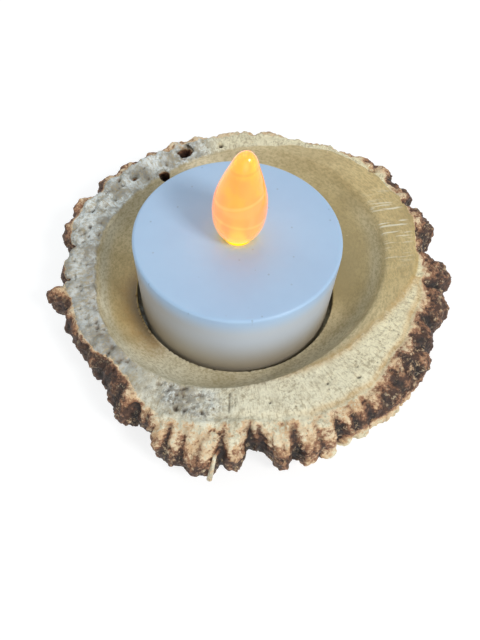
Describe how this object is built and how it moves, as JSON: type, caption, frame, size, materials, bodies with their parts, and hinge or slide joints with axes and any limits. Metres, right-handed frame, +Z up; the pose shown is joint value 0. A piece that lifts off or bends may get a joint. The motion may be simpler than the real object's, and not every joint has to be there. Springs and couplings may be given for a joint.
{
  "type": "antler candle holder",
  "caption": "Slice of an antler burr with a pearled edge and a dished, polished seat, holding a battery tea light with a flame-shaped bulb.",
  "frame": {"origin": "on the sawn base, under the axis of the candle seat", "axes": "+Z up along the candle, +Y towards the back of the holder, -Y towards the viewer of the picture"},
  "size_m": [0.0792, 0.0801, 0.0435],
  "materials": {
    "bone": "satin",
    "white_plastic": "satin",
    "flame_plastic": "gloss",
    "led_resin": "gloss",
    "led_chip": "satin",
    "tinned_steel": "satin",
    "base_plastic": "satin",
    "cell_steel": "satin",
    "gasket_plastic": "matte",
    "cell_lithium": "matte",
    "cell_separator": "matte",
    "cell_pellet": "matte",
    "contact_brass": "satin",
    "switch_plastic": "matte"
  },
  "bodies": {
    "holder": {"antler_burr": "bone"},
    "tea_light": {"candle_shell": "white_plastic", "flame_bulb": "flame_plastic", "led_lens": "led_resin", "led_chips": "led_chip", "led_anode_lead": "tinned_steel", "led_cathode_lead": "tinned_steel", "base_chassis": "base_plastic", "coin_cell_can": "cell_steel", "coin_cell_gasket": "gasket_plastic", "coin_cell_cap": "cell_steel", "coin_cell_lithium": "cell_lithium", "coin_cell_separator": "cell_separator", "coin_cell_pellet": "cell_pellet", "positive_contact": "contact_brass", "negative_contact": "contact_brass", "switch_contact": "contact_brass"},
    "switch": {"switch_slider": "switch_plastic", "switch_wiper": "contact_brass"},
    "cover": {"battery_cover": "base_plastic"}
  },
  "joints": [
    {"name": "tealight_lift", "type": "slide", "parent": "holder", "child": "tea_light", "axis": [0, 0, 1], "range_m": [0, 0.04]},
    {"name": "switch_slide", "type": "slide", "parent": "tea_light", "child": "switch", "axis": [-1, 0, 0], "range_m": [0, 0.002]},
    {"name": "cover_twist", "type": "hinge", "parent": "tea_light", "child": "cover", "pos_m": [0, -0.0042, 0.006], "axis": [0, 0, -1], "range_deg": [0, 45]}
  ]
}
